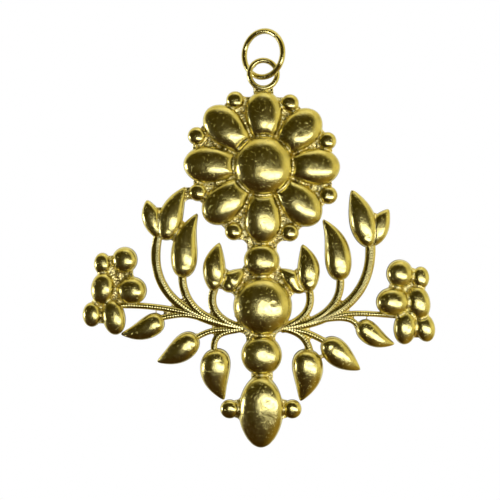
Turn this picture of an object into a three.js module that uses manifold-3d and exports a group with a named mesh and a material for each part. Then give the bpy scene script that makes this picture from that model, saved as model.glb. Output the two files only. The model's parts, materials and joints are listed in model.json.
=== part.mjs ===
// A soldered folk pendant of gilt brass: a domed flower above a column of domes and a hanging drop,
// with a spray of leaves and a cluster of berries on each side, carried by a bail ring and a jump ring.
// Millimetres, +Z up, front towards -Y. The origin is the centre of the jump ring, where it hangs.
import * as THREE from "three";
import { mergeVertices } from "three/addons/utils/BufferGeometryUtils.js";
import Module from "manifold-3d";

const manifold = await Module();
manifold.setup();

// Sheet, solder and edges that every piece shares
const plateThickness = 0.6;
const solderGap = 0.08;
const domeWall = 0.4;
const plateInset = 0.3;
const dropInset = 0.6;

// Rings
const jumpWire = 1.0;
const jumpDiameter = 8.06;
const jumpTurn = 33.6;
const bailWire = 0.96;
const bailDiameter = 4.86;
const linkOverlap = 3.9;
const bailTabWidth = 2;
const bailTabCover = 0.25;

// Flower
const centreDomeRadius = 5.08;
const centreDomeRise = 0.6;
const petalSeam = 0.26;
const petalWidest = 0.62;
const petalFullness = { root: 0.35, tip: 0.5 };
const petalCrest = 0.5;
const petalRise = 0.62;
const flowerBeadRadius = 1.5;
const plateReach = 12.1;
const plateLobe = 0.45;

// How far a petal's egg shape would run on under the centre dome, which it is filed to meet
const petalTuck = 1.5;

// Each petal's length beyond the centre dome, and its turn from its even place in degrees
const petalShapes = {
  right: { length: 8.25, turn: -1 },
  upper_right: { length: 8.15, turn: -1 },
  top: { length: 7.95, turn: -0.3 },
  upper_left: { length: 8.75, turn: -0.6 },
  left: { length: 8.8, turn: -1.3 },
  lower_left: { length: 8.65, turn: -1.5 },
  bottom: { length: 8.5, turn: -0.5 },
  lower_right: { length: 8.55, turn: -1 },
};

// Each bead's turn from the middle between its petals in degrees, and how far it stands out from where
// it would touch them, starting at the right
const flowerBeads = [
  { turn: -1.3, out: 0.25 },
  { turn: -0.5, out: 0.27 },
  { turn: 0.6, out: 0.35 },
  { turn: -1.7, out: 0.63 },
  { turn: -0.5, out: 0.24 },
  { turn: -1.7, out: 0.6 },
  { turn: -0.7, out: 0.63 },
  { turn: -1.7, out: 0.53 },
];

// Column of domes below the flower, each with its sideways lean from the flower's axis
const neckDome = { halfWidth: 3.08, halfHeight: 2.86, lean: -0.26 };
const middleDome = { halfWidth: 5.08, halfHeight: 5.08, lean: -0.1 };
const lowerDome = { halfWidth: 3.5, halfHeight: 3.46, lean: -0.3 };
const columnRise = 0.6;
const drop = { length: 12.6, halfWidth: 3.84, widest: 0.49, lean: -0.41 };
const dropFullness = { root: 0.5, tip: 0.5 };
const dropRise = 0.66;
const dropBeadRadius = 1.57;
const dropBeadShare = 0.47;
const spineWidth = 3.8;
const dropArmWidth = 1.1;
const dropArmFlare = 0.3;

// Beads are small domes, and this is their height per radius
const beadRise = 0.75;

// Leaves: height per half-width, how slim both ends are, and where along the leaf its bend is greatest
const leafRise = 0.78;
const leafFullness = { root: 0.7, tip: 0.8 };
const bendPower = 1.6;

// Berries
const berryRise = 0.8;

// Stems are half-round bands that spring from the rim of the middle dome. One side of the section
// is given from the bottom up, as shares of the half-width and of the height.
const stemHeight = 1.25;
const stemTuck = 0.6;
const rootAngle = 50;
const stemSide = [[1, 0], [1, 0.5], [0.82, 0.82], [0.42, 1]];
const profilePower = 2.4;

// Each stem ends at a point measured from its root, with its headings in degrees and the
// lengths of its two curve handles. One that branches names its parent and the share along it.
const leftStems = {
  outer: { to: [-15.2, 15.9], leave: 172, arrive: 78, handles: [10, 10], width: 1.6 },
  middle: { on: "outer", at: 0.02, to: [-10.9, 9.2], arrive: 91, handles: [5, 6.3], width: 1.45 },
  inner: { to: [-5.4, 6.4], leave: 169, arrive: 73, handles: [3.6, 3.7], width: 1.45 },
  cluster: { on: "outer", at: 0.13, to: [-21.5, 4], arrive: 181, handles: [0.8, 9.6], width: 1.1 },
  lowerOuter: { on: "outer", at: 0.11, to: [-14.2, 1.9], arrive: 192, handles: [6.4, 5.1], width: 1.05 },
  lowerMiddle: { to: [-8.1, -1.5], leave: 190, arrive: 210, handles: [3.6, 3.6], width: 1 },
  lowerInner: { to: [-5.3, -3.6], leave: 198, arrive: 272, handles: [2.5, 3.4], width: 1.15 },
};
const rightStems = {
  outer: { to: [15.7, 14.5], leave: 6, arrive: 92, handles: [9.4, 9.3], width: 1.75 },
  middle: { on: "outer", at: 0.02, to: [10.4, 8.5], arrive: 93, handles: [6.5, 4.5], width: 1.4 },
  inner: { to: [5, 6.2], leave: 18, arrive: 100, handles: [3.8, 3.2], width: 1.4 },
  cluster: { on: "outer", at: 0.19, to: [21.1, 2.1], arrive: -5, handles: [7, 8.9], width: 1 },
  lowerOuter: { on: "outer", at: 0.11, to: [13.4, 0.3], arrive: -66, handles: [2.6, 3.2], width: 1.05 },
  lowerMiddle: { to: [7.6, -2.3], leave: -5, arrive: -29, handles: [3.3, 3.4], width: 1.15 },
  lowerInner: { to: [4.9, -3.6], leave: -9, arrive: -74, handles: [2.5, 2.4], width: 1.3 },
};

// Each leaf sits on the end of a stem, moved by its offset, and points along its heading.
const leftLeaves = {
  outer_large: {
    stem: "outer", offset: [1.05, -0.35], heading: 67.6,
    length: 10, halfWidth: 2.06, bend: 0.5, widest: 0.38,
  },
  outer_small: {
    stem: "outer", offset: [-0.15, 0], heading: 104.5,
    length: 6.8, halfWidth: 1.6, bend: 0, widest: 0.52,
  },
  middle: {
    stem: "middle", offset: [-0.15, -0.2], heading: 75.8,
    length: 11.5, halfWidth: 2.28, bend: 0.85, widest: 0.33,
  },
  inner_large: {
    stem: "inner", offset: [-0.06, 0.1], heading: 82.6,
    length: 8.55, halfWidth: 1.94, bend: 0.37, widest: 0.44,
  },
  inner_small: {
    stem: "inner", offset: [1.6, 0.5], heading: 42.3,
    length: 5.2, halfWidth: 1.75, bend: 0, widest: 0.35,
  },
  lower_outer: {
    stem: "lowerOuter", offset: [0, -0.52], heading: 198,
    length: 7.8, halfWidth: 1.92, bend: 0.52, widest: 0.3,
  },
  lower_middle: {
    stem: "lowerMiddle", offset: [-0.08, -0.1], heading: 211.3,
    length: 8.25, halfWidth: 2.17, bend: 0.44, widest: 0.34,
  },
  lower_inner: {
    stem: "lowerInner", offset: [0, -0.1], heading: 281.2,
    length: 9, halfWidth: 2.64, bend: -0.66, widest: 0.33,
  },
};
const rightLeaves = {
  outer_large: {
    stem: "outer", offset: [-0.19, -0.25], heading: 107.1,
    length: 10.45, halfWidth: 2.27, bend: -0.26, widest: 0.42,
  },
  outer_small: {
    stem: "outer", offset: [0.55, 0], heading: 68.1,
    length: 6.9, halfWidth: 1.62, bend: 0.35, widest: 0.5,
  },
  middle: {
    stem: "middle", offset: [0.3, 0], heading: 107.4,
    length: 11.1, halfWidth: 2.27, bend: -0.84, widest: 0.33,
  },
  inner_large: {
    stem: "inner", offset: [0, 0.1], heading: 98.6,
    length: 8.5, halfWidth: 1.92, bend: -0.47, widest: 0.43,
  },
  inner_small: {
    stem: "inner", offset: [-1, 0.25], heading: 136.8,
    length: 5.75, halfWidth: 1.58, bend: -0.16, widest: 0.4,
  },
  lower_outer: {
    stem: "lowerOuter", offset: [0.05, 0.25], heading: -27.5,
    length: 7.2, halfWidth: 1.89, bend: -0.52, widest: 0.32,
  },
  lower_middle: {
    stem: "lowerMiddle", offset: [-0.22, 0.1], heading: -38.2,
    length: 8.2, halfWidth: 2.22, bend: -0.26, widest: 0.37,
  },
  lower_inner: {
    stem: "lowerInner", offset: [-0.05, -0.2], heading: 260.8,
    length: 9.05, halfWidth: 2.68, bend: 0.5, widest: 0.33,
  },
};

// Berries by their place from the end of the cluster stem, their half-axes and their lean.
// The ones that come first are whole, and later ones are filed to clear them.
const leftBerries = {
  middle_outer: { place: [-3.34, 3.0], halfWidth: 1.96, halfHeight: 2.77, lean: -8 },
  middle_inner: { place: [1.82, 2.62], halfWidth: 2.5, halfHeight: 2.38, lean: 0 },
  top_inner: { place: [0.55, 8.0], halfWidth: 2.14, halfHeight: 2.22, lean: 0 },
  lower_inner: { place: [-1.38, -2.05], halfWidth: 1.92, halfHeight: 3.05, lean: 10 },
  top_outer: { place: [-3.41, 7.34], halfWidth: 1.35, halfHeight: 1.85, lean: 0 },
  lower_outer: { place: [-5.22, -1.58], halfWidth: 1.55, halfHeight: 2.1, lean: 0 },
};
const rightBerries = {
  middle_inner: { place: [-1.54, 2.52], halfWidth: 2.83, halfHeight: 2.5, lean: 0 },
  middle_outer: { place: [3.03, 2.4], halfWidth: 1.95, halfHeight: 2.87, lean: 10 },
  top_inner: { place: [-0.3, 7.48], halfWidth: 2.26, halfHeight: 2.42, lean: 0 },
  lower_inner: { place: [0.64, -1.95], halfWidth: 1.92, halfHeight: 2.92, lean: -5 },
  lower_outer: { place: [4.17, -2.01], halfWidth: 1.64, halfHeight: 2.42, lean: 12 },
  top_outer: { place: [3.4, 6.76], halfWidth: 1.4, halfHeight: 1.9, lean: 0 },
};
const berryRingOrder = [
  "top_outer", "top_inner", "middle_inner",
  "lower_inner", "lower_outer", "middle_outer",
];

// Smoothness of the facets
const largeDomeSides = 28;
const smallDomeSides = 16;
const beadSides = 12;
const leafSteps = 9;
const petalSteps = 10;
const ringSides = 32;
const wireSides = 8;
const stemSteps = 10;
const padSteps = 8;
const stepsPerLobe = 6;
const crownRings = [1, 0.93, 0.74, 0.42];

const degrees = THREE.MathUtils.degToRad;
const onPlate = plateThickness + solderGap;
const flatCentre = new THREE.Vector2(0, 0);
const roundingSlack = 1e-9;
const mergeDistance = 1e-5;

// Filing: how deep the cutting blocks reach, and what is too small to cut or to keep
const cutterDepth = 12;
const grazingVolume = 0.002;
const smallestFeature = 0.01;

// How finely the widest petal and the place of a bead are searched for
const petalSamples = 40;
const beadHalvings = 40;

// Materials
const satinGold = new THREE.MeshStandardMaterial({ color: 0xc8a838, metalness: 1, roughness: 0.28 });
const polishedGold = new THREE.MeshStandardMaterial({ color: 0xd2b450, metalness: 1, roughness: 0.18 });
const solderedBack = new THREE.MeshStandardMaterial({ color: 0xa88a30, metalness: 1, roughness: 0.5 });

// The pieces that are laid down so far, each as its outline seen from the front and its levels
const bench = [];

// Outlines

// The half-width at a share along a leaf, an egg or a petal: full at its widest share, nothing at both
// ends. The lower the fullness of an end, the blunter it is.
function widthShare(share, widest, fullness) {
  const power = Math.log(0.5) / Math.log(widest);
  return Math.sin(Math.PI * share ** power) ** (share < widest ? fullness.root : fullness.tip);
}

// A leaf or an egg that starts at its frame's origin and points along +X
function leafOutline({ length, halfWidth, widest, bend = 0 }, fullness, steps) {
  const edge = (step, side) => {
    const share = (1 - Math.cos((Math.PI * step) / steps)) / 2;
    const middle = bend * Math.sin(Math.PI * share ** bendPower);
    const half = step % steps === 0 ? 0 : halfWidth * widthShare(share, widest, fullness);
    return new THREE.Vector2(length * share, middle + side * half);
  };
  const right = Array.from({ length: steps + 1 }, (_, step) => edge(step, -1));
  const left = Array.from({ length: steps - 1 }, (_, step) => edge(steps - 1 - step, 1));
  return [...right, ...left];
}

function ovalOutline(halfWidth, halfHeight, sides) {
  return Array.from({ length: sides }, (_, side) => {
    const angle = (2 * Math.PI * side) / sides;
    return new THREE.Vector2(halfWidth * Math.cos(angle), halfHeight * Math.sin(angle));
  });
}

// The same outline, moved out by a distance at every corner
function grown(outline, distance) {
  const count = outline.length;
  return outline.map((point, index) => {
    const before = outline[(index + count - 1) % count];
    const after = outline[(index + 1) % count];
    const along = after.clone().sub(before).normalize();
    return new THREE.Vector2(point.x + along.y * distance, point.y - along.x * distance);
  });
}

// Solids

// The height of a cushion-like crown at a share of the way out from its middle
function crownHeight(share, wall, height) {
  return wall + (height - wall) * (1 - share ** profilePower) ** (1 / profilePower);
}

// A flat back, an upright wall and a crown whose rings close in on one point of the outline's frame
function crownedGeometry(outline, centre, wall, height) {
  const levels = [
    { share: 1, level: 0 },
    ...crownRings.map((share) => ({ share, level: crownHeight(share, wall, height) })),
  ];
  const count = outline.length;
  const positions = [];
  for (const { share, level } of levels) {
    for (const point of outline) {
      const spot = centre.clone().lerp(point, share);
      positions.push(spot.x, spot.y, level);
    }
  }
  const index = [];
  for (let ring = 0; ring + 1 < levels.length; ring += 1) {
    for (let corner = 0; corner < count; corner += 1) {
      const next = (corner + 1) % count;
      const low = ring * count;
      const high = low + count;
      index.push(low + corner, low + next, high + next);
      index.push(low + corner, high + next, high + corner);
    }
  }
  const peak = levels.length * count;
  positions.push(centre.x, centre.y, height);
  for (let corner = 0; corner < count; corner += 1) {
    const next = (corner + 1) % count;
    index.push(peak - count + corner, peak - count + next, peak);
  }
  for (const face of THREE.ShapeUtils.triangulateShape(outline, [])) {
    index.push(face[0], face[2], face[1]);
  }
  const geometry = new THREE.BufferGeometry();
  geometry.setAttribute("position", new THREE.Float32BufferAttribute(positions, 3));
  geometry.setIndex(index);
  geometry.computeVertexNormals();
  return geometry;
}

// A round or oval dome with a flat back, turned on its axis
function domeGeometry(halfWidth, halfHeight, wall, height, sides) {
  const profile = [new THREE.Vector2(0, 0), new THREE.Vector2(1, 0)];
  for (const share of crownRings) {
    profile.push(new THREE.Vector2(share, crownHeight(share, wall, height)));
  }
  profile.push(new THREE.Vector2(0, height));
  const geometry = new THREE.LatheGeometry(profile, sides, Math.PI / 2);
  return geometry.rotateX(Math.PI / 2).scale(halfWidth, halfHeight, 1);
}

function plateGeometry(outline) {
  const options = { depth: plateThickness, bevelEnabled: false };
  return new THREE.ExtrudeGeometry(new THREE.Shape(outline), options);
}

function ringGeometry(diameter, wire) {
  return new THREE.TorusGeometry(diameter / 2, wire / 2, wireSides, ringSides);
}

// Joining and cutting

function toSolid(geometry) {
  const bare = geometry.clone();
  bare.deleteAttribute("normal");
  bare.deleteAttribute("uv");
  const merged = mergeVertices(bare, mergeDistance);
  const corners = merged.index.array;
  const kept = [];
  for (let face = 0; face < corners.length; face += 3) {
    const [a, b, c] = [corners[face], corners[face + 1], corners[face + 2]];
    if (a !== b && b !== c && c !== a) {
      kept.push(a, b, c);
    }
  }
  const mesh = new manifold.Mesh({
    numProp: 3,
    vertProperties: new Float32Array(merged.attributes.position.array),
    triVerts: new Uint32Array(kept),
  });
  return new manifold.Manifold(mesh);
}

function toGeometry(solid) {
  const mesh = solid.getMesh();
  const geometry = new THREE.BufferGeometry();
  geometry.setAttribute("position", new THREE.BufferAttribute(mesh.vertProperties, 3));
  geometry.setIndex(new THREE.BufferAttribute(mesh.triVerts, 1));
  geometry.computeVertexNormals();
  return geometry;
}

// The room that a laid piece takes, as a tall block with a clearance round it
function cutterSolid(outline, clearance) {
  const block = new THREE.ExtrudeGeometry(new THREE.Shape(grown(outline, clearance)), {
    depth: cutterDepth,
    bevelEnabled: false,
  });
  return toSolid(block.translate(0, 0, -cutterDepth / 2));
}

function boxOf(outline) {
  return new THREE.Box2().setFromPoints(outline).expandByScalar(solderGap);
}

// The laid pieces whose levels and box meet an outline, brought into the frame of its seat
function neighbours(outline, low, high, seat) {
  const box = boxOf(outline);
  return bench
    .filter((laid) => laid.low < high && laid.high > low && boxOf(laid.outline).intersectsBox(box))
    .map((laid) => laid.outline.map((point) => intoSeat(point, seat)));
}

function intoSeat(point, seat) {
  return point.clone().sub(new THREE.Vector2(seat.x, seat.y)).rotateAround(flatCentre, -seat.turn);
}

function outOfSeat(point, seat) {
  return point.clone().rotateAround(flatCentre, seat.turn).add(new THREE.Vector2(seat.x, seat.y));
}

// A geometry filed back to clear its neighbours, or as it was where they at most graze it
function filed(geometry, outlines) {
  let solid = toSolid(geometry);
  const whole = solid.volume();
  for (const outline of outlines) {
    solid = solid.subtract(cutterSolid(outline, solderGap));
  }
  if (whole - solid.volume() < grazingVolume) {
    return geometry;
  }
  return toGeometry(solid.simplify(smallestFeature));
}

function namedMesh(name, geometry, material) {
  const mesh = new THREE.Mesh(geometry, material);
  mesh.name = name;
  return mesh;
}

// Lays a piece on the bench: its seat gives x, y, level and turn, and its outline is in its own frame
function lay(group, name, geometry, outline, seat, height, material) {
  const low = seat.level;
  const high = seat.level + height;
  const placed = outline.map((point) => outOfSeat(point, seat));
  const mesh = namedMesh(name, filed(geometry, neighbours(placed, low, high, seat)), material);
  mesh.position.set(seat.x, seat.y, seat.level);
  mesh.rotation.z = seat.turn;
  group.add(mesh);
  bench.push({ outline: placed, low, high });
}

function seatAt(x, y, level) {
  return { x, y, level, turn: 0 };
}

function layPlate(group, name, outline) {
  lay(group, name, plateGeometry(outline), outline, seatAt(0, 0, 0), plateThickness, solderedBack);
}

function layDome(group, name, shape, seat, rise, sides, material = satinGold) {
  const height = domeWall + rise * Math.min(shape.halfWidth, shape.halfHeight);
  const geometry = domeGeometry(shape.halfWidth, shape.halfHeight, domeWall, height, sides);
  const outline = ovalOutline(shape.halfWidth, shape.halfHeight, sides);
  lay(group, name, geometry, outline, seat, height, material);
}

function layBead(group, name, radius, x, y) {
  const shape = { halfWidth: radius, halfHeight: radius };
  layDome(group, name, shape, seatAt(x, y, onPlate), beadRise, beadSides, polishedGold);
}

// Flower

const petalNames = Object.keys(petalShapes);
const petalStep = (2 * Math.PI) / petalNames.length;
const petalStart = centreDomeRadius + solderGap - petalTuck;

function petalLength(name) {
  return petalTuck + petalShapes[name].length;
}

function petalReach(name) {
  return petalStart + petalLength(name);
}

// The widest petal that leaves its neighbours the seam, worked out beyond the dome on the shortest petal
function petalHalfWidth() {
  const length = Math.min(...petalNames.map(petalLength));
  let half = Infinity;
  for (let sample = 1; sample < petalSamples; sample += 1) {
    const share = sample / petalSamples;
    const radius = petalStart + length * share;
    if (radius > centreDomeRadius) {
      const room = radius * Math.tan(petalStep / 2) - petalSeam / (2 * Math.cos(petalStep / 2));
      half = Math.min(half, room / widthShare(share, petalWidest, petalFullness));
    }
  }
  return half;
}

// Slides a bead in along its ray until it meets the petals on both sides of it
function beadDistance(angle, radius, outlines) {
  const gapAt = (distance) => {
    const centre = new THREE.Vector2(distance * Math.cos(angle), distance * Math.sin(angle));
    return Math.min(...outlines.flat().map((point) => point.distanceTo(centre))) - radius;
  };
  let near = petalStart;
  let far = 2 * Math.max(...petalNames.map(petalReach));
  for (let halving = 0; halving < beadHalvings; halving += 1) {
    const middle = (near + far) / 2;
    if (gapAt(middle) > solderGap && middle > plateReach - radius) {
      far = middle;
    } else {
      near = middle;
    }
  }
  return far;
}

function flowerPlateOutline(tabTop) {
  const lobes = 2 * petalNames.length;
  const steps = stepsPerLobe * lobes;
  const outline = [1, -1].map((side) => new THREE.Vector2((side * bailTabWidth) / 2, tabTop));
  for (let step = 1; step < steps; step += 1) {
    const angle = Math.PI / 2 + (2 * Math.PI * step) / steps;
    const reach = plateReach + plateLobe * Math.cos(lobes * (angle - Math.PI / 2));
    outline.push(new THREE.Vector2(reach * Math.cos(angle), reach * Math.sin(angle)));
  }
  return outline;
}

function addFlower(group) {
  const bailY = bailHeight();
  const plate = flowerPlateOutline(bailY - (bailDiameter - bailWire) / 2 - bailTabCover);
  layPlate(group, "flower_back_plate", plate);
  const centre = { halfWidth: centreDomeRadius, halfHeight: centreDomeRadius };
  layDome(group, "flower_centre_dome", centre, seatAt(0, 0, onPlate), centreDomeRise, largeDomeSides);
  const halfWidth = petalHalfWidth();
  const height = domeWall + petalRise * halfWidth;
  const petals = petalNames.map((name, index) => {
    const shape = { length: petalLength(name), halfWidth, widest: petalWidest };
    const outline = leafOutline(shape, petalFullness, petalSteps);
    const crest = new THREE.Vector2(shape.length * petalCrest, 0);
    const turn = index * petalStep + degrees(petalShapes[name].turn);
    const seat = { x: petalStart * Math.cos(turn), y: petalStart * Math.sin(turn), level: onPlate, turn };
    const geometry = crownedGeometry(outline, crest, domeWall, height);
    lay(group, `petal_${name}`, geometry, outline, seat, height, satinGold);
    return outline.map((point) => outOfSeat(point, seat));
  });
  flowerBeads.forEach(({ turn, out }, index) => {
    const angle = (index + 0.5) * petalStep + degrees(turn);
    const beside = [petals[index], petals[(index + 1) % petals.length]];
    const distance = beadDistance(angle, flowerBeadRadius, beside) + out;
    const spot = [distance * Math.cos(angle), distance * Math.sin(angle)];
    layBead(group, `flower_bead_${index + 1}`, flowerBeadRadius, ...spot);
  });
}

// Rings

function bailHeight() {
  return petalReach("top") + solderGap + (bailDiameter + bailWire) / 2;
}

function bailLevel() {
  return onPlate + bailWire / 2;
}

// How far the jump ring's centre lies above the bail ring's centre
function linkDistance() {
  return (bailDiameter + bailWire + jumpDiameter + jumpWire) / 2 - linkOverlap;
}

function addBail(group) {
  const ring = namedMesh("bail_ring", ringGeometry(bailDiameter, bailWire), polishedGold);
  ring.position.set(0, bailHeight(), bailLevel());
  group.add(ring);
}

// Column

function columnPlaces() {
  let top = -(Math.max(petalReach("bottom"), plateReach + plateLobe) + solderGap);
  const centreBelow = (shape) => {
    const y = top - shape.halfHeight;
    top = y - shape.halfHeight - solderGap;
    return { x: shape.lean, y };
  };
  const neck = centreBelow(neckDome);
  const middle = centreBelow(middleDome);
  const lower = centreBelow(lowerDome);
  return { neck, middle, lower, dropTop: top };
}

// The spine: a strip with a round pad under each dome, an egg under the drop and an arm for its beads
function columnPlateOutline(places, beadY, beadX) {
  const dropMiddle = { x: drop.lean, y: places.dropTop - drop.length / 2 };
  const padUnder = (place, halfWidth, halfHeight, inset) => {
    return { ...place, across: halfWidth - inset, along: halfHeight - inset };
  };
  const pads = [
    padUnder(places.neck, neckDome.halfWidth, neckDome.halfHeight, plateInset),
    padUnder(places.middle, middleDome.halfWidth, middleDome.halfHeight, plateInset),
    padUnder(places.lower, lowerDome.halfWidth, lowerDome.halfHeight, plateInset),
    padUnder(dropMiddle, drop.halfWidth, drop.length / 2, dropInset),
  ];
  const stripTop = -(plateReach + plateLobe + solderGap);
  const stripEnd = dropMiddle.y;
  const armHalf = dropArmWidth / 2;
  const levels = [stripTop, beadY + armHalf, beadY - armHalf];
  levels.push(beadY + armHalf + dropArmFlare, beadY - armHalf - dropArmFlare);
  for (const pad of pads) {
    for (let step = 0; step <= padSteps; step += 1) {
      levels.push(pad.y + pad.along * Math.cos((Math.PI * step) / padSteps));
    }
  }
  levels.sort((a, b) => b - a);
  const edge = (level, side) => {
    const reaches = [];
    if (level >= stripEnd) {
      reaches.push(drop.lean / 2 + (side * spineWidth) / 2);
    }
    for (const pad of pads) {
      const share = (level - pad.y) / pad.along;
      if (Math.abs(share) <= 1 + roundingSlack) {
        reaches.push(pad.x + side * pad.across * Math.sqrt(Math.max(0, 1 - share * share)));
      }
    }
    if (Math.abs(level - beadY) <= armHalf) {
      reaches.push(drop.lean + side * beadX);
    }
    const reach = side > 0 ? Math.max(...reaches) : Math.min(...reaches);
    return new THREE.Vector2(reach, level);
  };
  const lowest = levels.length - 1;
  const left = levels.map((level) => edge(level, -1));
  const right = levels.slice(0, lowest).map((level) => edge(level, 1));
  return [...left, ...right.reverse()];
}

function addColumn(group) {
  const places = columnPlaces();
  const beadX = drop.halfWidth + solderGap + dropBeadRadius;
  const beadY = places.dropTop - drop.length * dropBeadShare;
  const plate = columnPlateOutline(places, beadY, beadX);
  layPlate(group, "column_back_plate", plate);
  const sides = largeDomeSides;
  const seatOn = (place) => seatAt(place.x, place.y, onPlate);
  layDome(group, "neck_dome", neckDome, seatOn(places.neck), columnRise, sides);
  layDome(group, "middle_dome", middleDome, seatOn(places.middle), columnRise, sides);
  layDome(group, "lower_dome", lowerDome, seatOn(places.lower), columnRise, sides);
  const outline = leafOutline(drop, dropFullness, petalSteps);
  const height = domeWall + dropRise * drop.halfWidth;
  const centre = new THREE.Vector2(drop.length * drop.widest, 0);
  const dropSeat = { x: drop.lean, y: places.dropTop, level: onPlate, turn: -Math.PI / 2 };
  const geometry = crownedGeometry(outline, centre, domeWall, height);
  lay(group, "drop", geometry, outline, dropSeat, height, satinGold);
  layBead(group, "drop_bead_left", dropBeadRadius, drop.lean - beadX, beadY);
  layBead(group, "drop_bead_right", dropBeadRadius, drop.lean + beadX, beadY);
  return places;
}

// Sides

function headingVector(angle, length) {
  return new THREE.Vector2(length * Math.cos(degrees(angle)), length * Math.sin(degrees(angle)));
}

function stemCurve(stem, root, curves) {
  const end = new THREE.Vector2(...stem.to).add(root);
  let start = root.clone();
  let leaving = stem.on ? null : headingVector(stem.leave, stem.handles[0]);
  if (stem.on) {
    start = curves[stem.on].getPoint(stem.at);
    leaving = curves[stem.on].getTangent(stem.at).multiplyScalar(stem.handles[0]);
  }
  const arriving = headingVector(stem.arrive, stem.handles[1]);
  return new THREE.CubicBezierCurve(start, start.clone().add(leaving), end.clone().sub(arriving), end);
}

// A half-round band along a curve, flush with the backs of the plates and tucked on past its end
function stemGeometry(curve, width) {
  const end = curve.v3;
  const tuck = curve.getTangent(1).multiplyScalar(stemTuck).add(end);
  const flat = [...curve.getSpacedPoints(stemSteps), tuck];
  const spots = flat.map((point) => new THREE.Vector3(point.x, point.y, stemHeight / 2));
  const path = new THREE.CatmullRomCurve3(spots);
  const corner = ([across, up], side) => {
    return new THREE.Vector2(stemHeight * (up - 0.5), (side * across * width) / 2);
  };
  const left = stemSide.map((spot) => corner(spot, -1));
  const right = stemSide.map((spot) => corner(spot, 1)).reverse();
  const options = { steps: stemSteps + 1, extrudePath: path, bevelEnabled: false };
  return new THREE.ExtrudeGeometry(new THREE.Shape([...left, ...right]), options);
}

function addLeaves(group, side, leaves, curves) {
  for (const [name, leaf] of Object.entries(leaves)) {
    const end = curves[leaf.stem].v3;
    const outline = leafOutline(leaf, leafFullness, leafSteps);
    const wall = onPlate + domeWall;
    const height = wall + leafRise * leaf.halfWidth;
    const bow = leaf.bend * Math.sin(Math.PI * leaf.widest ** bendPower);
    const centre = new THREE.Vector2(leaf.length * leaf.widest, bow);
    const seat = {
      x: end.x + leaf.offset[0],
      y: end.y + leaf.offset[1],
      level: 0,
      turn: degrees(leaf.heading),
    };
    const geometry = crownedGeometry(outline, centre, wall, height);
    lay(group, `leaf_${side}_${name}`, geometry, outline, seat, height, satinGold);
  }
}

function addBerries(group, side, berries, end) {
  const centre = (name) => new THREE.Vector2(...berries[name].place).add(end);
  const ring = berryRingOrder.map(centre);
  const plate = THREE.ShapeUtils.isClockWise(ring) ? ring.reverse() : ring;
  layPlate(group, `cluster_plate_${side}`, plate);
  for (const [berryName, berry] of Object.entries(berries)) {
    const spot = centre(berryName);
    const seat = { x: spot.x, y: spot.y, level: onPlate, turn: degrees(berry.lean) };
    layDome(group, `berry_${side}_${berryName}`, berry, seat, berryRise, smallDomeSides);
  }
}

// All stems of one side, soldered into one branching piece and filed to meet what it carries
function addStems(group, side, stems, curves) {
  const bands = Object.entries(stems).map(([name, stem]) => {
    return toSolid(stemGeometry(curves[name], stem.width));
  });
  const branch = manifold.Manifold.union(bands);
  const outlines = bench.filter((laid) => laid.low < stemHeight).map((laid) => laid.outline);
  const room = manifold.Manifold.union(outlines.map((outline) => cutterSolid(outline, solderGap)));
  const filedBranch = branch.subtract(room).simplify(smallestFeature);
  group.add(namedMesh(`stems_${side}`, toGeometry(filedBranch), satinGold));
}

function addSide(group, side, direction, middle, stems, leaves, berries) {
  const root = headingVector(direction > 0 ? -rootAngle : 180 + rootAngle, middleDome.halfWidth);
  root.add(new THREE.Vector2(middle.x, middle.y));
  const curves = {};
  for (const [name, stem] of Object.entries(stems)) {
    curves[name] = stemCurve(stem, root, curves);
  }
  addBerries(group, side, berries, curves.cluster.v3);
  addLeaves(group, side, leaves, curves);
  addStems(group, side, stems, curves);
}

// The whole pendant. The picture frame has X to the right, Y up and Z to the front.
const picture = new THREE.Group();
picture.rotation.x = Math.PI / 2;

const jumpRing = namedMesh("jump_ring", ringGeometry(jumpDiameter, jumpWire), polishedGold);
jumpRing.rotation.y = degrees(-jumpTurn);
picture.add(jumpRing);

const ornament = new THREE.Group();
ornament.position.set(0, -(bailHeight() + linkDistance()), -bailLevel());
addFlower(ornament);
addBail(ornament);
const places = addColumn(ornament);
addSide(ornament, "left", -1, places.middle, leftStems, leftLeaves, leftBerries);
addSide(ornament, "right", 1, places.middle, rightStems, rightLeaves, rightBerries);
picture.add(ornament);

const pendant = new THREE.Group();
pendant.add(picture);

export default pendant;
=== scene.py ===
# The pendant's looks: smooth stamped domes, milled stems, wire rings and solder, under studio light
import json
import math

import bpy
import numpy as np
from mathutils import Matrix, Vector, noise
from mathutils.bvhtree import BVHTree


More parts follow.
